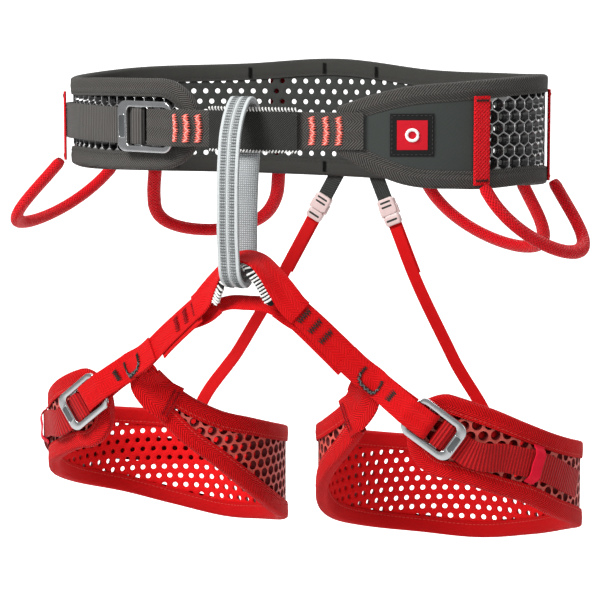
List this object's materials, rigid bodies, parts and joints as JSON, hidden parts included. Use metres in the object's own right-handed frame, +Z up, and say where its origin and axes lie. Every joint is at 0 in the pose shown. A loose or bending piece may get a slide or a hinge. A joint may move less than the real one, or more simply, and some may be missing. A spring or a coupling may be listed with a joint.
{
  "type": "climbing harness",
  "caption": "Padded rock-climbing harness: grey waist belt, belay loop, red leg loops with buckles, gear loops and rear riser straps.",
  "frame": {"origin": "centre of the waist opening, half way up the belt", "axes": "+Z up the wearer's body, the wearer faces -Y, +X is the wearer's left"},
  "size_m": [0.4301, 0.2641, 0.3511],
  "materials": {
    "pale_grey_webbing": "woven and stitched",
    "white_thread": "stitched wear strip",
    "red_webbing": "woven nylon",
    "dark_red_webbing": "ribbed woven nylon",
    "silver_aluminium": "satin anodised",
    "bright_red_elastic": "ribbed elastic",
    "salmon_net": "knitted spacer net",
    "charcoal_fabric": "woven lining cloth",
    "pale_pink_plastic": "moulded acetal",
    "grey_webbing": "herringbone woven webbing",
    "label_red": "woven label",
    "black_net": "moulded honeycomb net, semi-gloss"
  },
  "bodies": {
    "belay_loop": {"belay_loop": "pale_grey_webbing"},
    "bridge": {"bridge_guard": "white_thread", "bridge_lower_strap": "red_webbing", "bridge_upper_strap": "red_webbing"},
    "gear_loop_front_left": {"gear_loop_front_left": "red_webbing"},
    "gear_loop_front_right": {"gear_loop_front_right": "red_webbing"},
    "gear_loop_rear_left": {"gear_loop_rear_left": "red_webbing"},
    "gear_loop_rear_right": {"gear_loop_rear_right": "red_webbing"},
    "waist": {"gear_strap_front_left_first": "red_webbing", "gear_strap_front_left_second": "red_webbing", "gear_strap_front_right_first": "red_webbing", "gear_strap_front_right_second": "red_webbing", "gear_strap_rear_left_first": "red_webbing", "gear_strap_rear_left_second": "red_webbing", "gear_strap_rear_right_first": "red_webbing", "gear_strap_rear_right_second": "red_webbing", "riser_left_elastic_tab": "charcoal_fabric", "riser_left_socket": "pale_pink_plastic", "riser_right_elastic_tab": "charcoal_fabric", "riser_right_socket": "pale_pink_plastic", "waist_adjust_webbing": "grey_webbing", "waist_bottom_binding": "grey_webbing", "waist_buckle_slider": "silver_aluminium", "waist_label": "label_red", "waist_lining": "charcoal_fabric", "waist_net": "black_net", "waist_side_panel": "charcoal_fabric", "waist_tie_in_guard": "charcoal_fabric", "waist_tie_in_webbing": "grey_webbing", "waist_top_binding": "grey_webbing"},
    "leg_left": {"leg_left_adjust_webbing": "dark_red_webbing", "leg_left_bottom_binding": "red_webbing", "leg_left_buckle_slider": "silver_aluminium", "leg_left_keeper": "bright_red_elastic", "leg_left_lining": "red_webbing", "leg_left_lower_strap": "red_webbing", "leg_left_net": "salmon_net", "leg_left_strap": "red_webbing", "leg_left_top_binding": "red_webbing", "leg_left_yoke": "red_webbing", "riser_left_strap": "red_webbing"},
    "leg_left_buckle_frame": {"leg_left_buckle_frame": "silver_aluminium"},
    "leg_right": {"leg_right_adjust_webbing": "dark_red_webbing", "leg_right_bottom_binding": "red_webbing", "leg_right_buckle_slider": "silver_aluminium", "leg_right_keeper": "bright_red_elastic", "leg_right_lining": "red_webbing", "leg_right_lower_strap": "red_webbing", "leg_right_net": "salmon_net", "leg_right_strap": "red_webbing", "leg_right_top_binding": "red_webbing", "leg_right_yoke": "red_webbing", "riser_right_strap": "red_webbing"},
    "leg_right_buckle_frame": {"leg_right_buckle_frame": "silver_aluminium"},
    "riser_left_plug": {"riser_left_plug": "pale_pink_plastic", "riser_left_pull_tab": "red_webbing"},
    "riser_right_plug": {"riser_right_plug": "pale_pink_plastic", "riser_right_pull_tab": "red_webbing"},
    "waist_buckle_frame": {"waist_buckle_frame": "silver_aluminium"}
  },
  "joints": [
    {"name": "belay_loop_turn", "type": "hinge", "parent": "waist", "child": "belay_loop", "pos_m": [0, -0.108, 0], "axis": [0, 0, 1], "range_deg": [-2.5, 6]},
    {"name": "bridge_lift", "type": "slide", "parent": "waist", "child": "bridge", "axis": [0, 0, 1], "range_m": [0, 0.005]},
    {"name": "leg_left_swing", "type": "hinge", "parent": "bridge", "child": "leg_left", "pos_m": [0.038, -0.117, -0.113], "axis": [1, 0, 0], "range_deg": [0, 14], "deforming": ["riser_left_strap"]},
    {"name": "leg_right_swing", "type": "hinge", "parent": "bridge", "child": "leg_right", "pos_m": [-0.028, -0.117, -0.113], "axis": [1, 0, 0], "range_deg": [0, 14], "deforming": ["riser_right_strap"]},
    {"name": "waist_buckle_tilt", "type": "hinge", "parent": "waist", "child": "waist_buckle_frame", "pos_m": [-0.05688, -0.10687, 0.0015], "axis": [0, 0, 1], "range_deg": [0, 30]},
    {"name": "leg_left_buckle_tilt", "type": "hinge", "parent": "leg_left", "child": "leg_left_buckle_frame", "pos_m": [0.11636, -0.09967, -0.18388], "axis": [-0.5615, -0.1257, -0.8179], "range_deg": [0, 30]},
    {"name": "leg_right_buckle_tilt", "type": "hinge", "parent": "leg_right", "child": "leg_right_buckle_frame", "pos_m": [-0.11899, -0.09425, -0.18315], "axis": [-0.5896, 0.1279, 0.7975], "range_deg": [0, 30]},
    {"name": "gear_loop_front_left_flex", "type": "hinge", "parent": "waist", "child": "gear_loop_front_left", "pos_m": [0.1624, -0.01679, -0.0363], "axis": [-0.266, -0.9638, 0.0179], "range_deg": [-5, 35], "stiffness_Nm_per_rad": 0.1},
    {"name": "gear_loop_rear_left_flex", "type": "hinge", "parent": "waist", "child": "gear_loop_rear_left", "pos_m": [0.09185, 0.08803, -0.04306], "axis": [0.9312, -0.3639, 0.0236], "range_deg": [-5, 35], "stiffness_Nm_per_rad": 0.1},
    {"name": "gear_loop_front_right_flex", "type": "hinge", "parent": "waist", "child": "gear_loop_front_right", "pos_m": [-0.17618, 0.00013, -0.03315], "axis": [0.0541, 0.9908, -0.1244], "range_deg": [-5, 35], "stiffness_Nm_per_rad": 0.1},
    {"name": "gear_loop_rear_right_flex", "type": "hinge", "parent": "waist", "child": "gear_loop_rear_right", "pos_m": [-0.10952, 0.08311, -0.04056], "axis": [0.9078, 0.4186, -0.025], "range_deg": [-5, 35], "stiffness_Nm_per_rad": 0.1},
    {"name": "riser_left_release", "type": "slide", "parent": "waist", "child": "riser_left_plug", "axis": [0.3783, 0.0203, -0.9255], "range_m": [0, 0.011]},
    {"name": "riser_right_release", "type": "slide", "parent": "waist", "child": "riser_right_plug", "axis": [-0.4931, 0.0063, -0.8699], "range_m": [0, 0.011]}
  ]
}
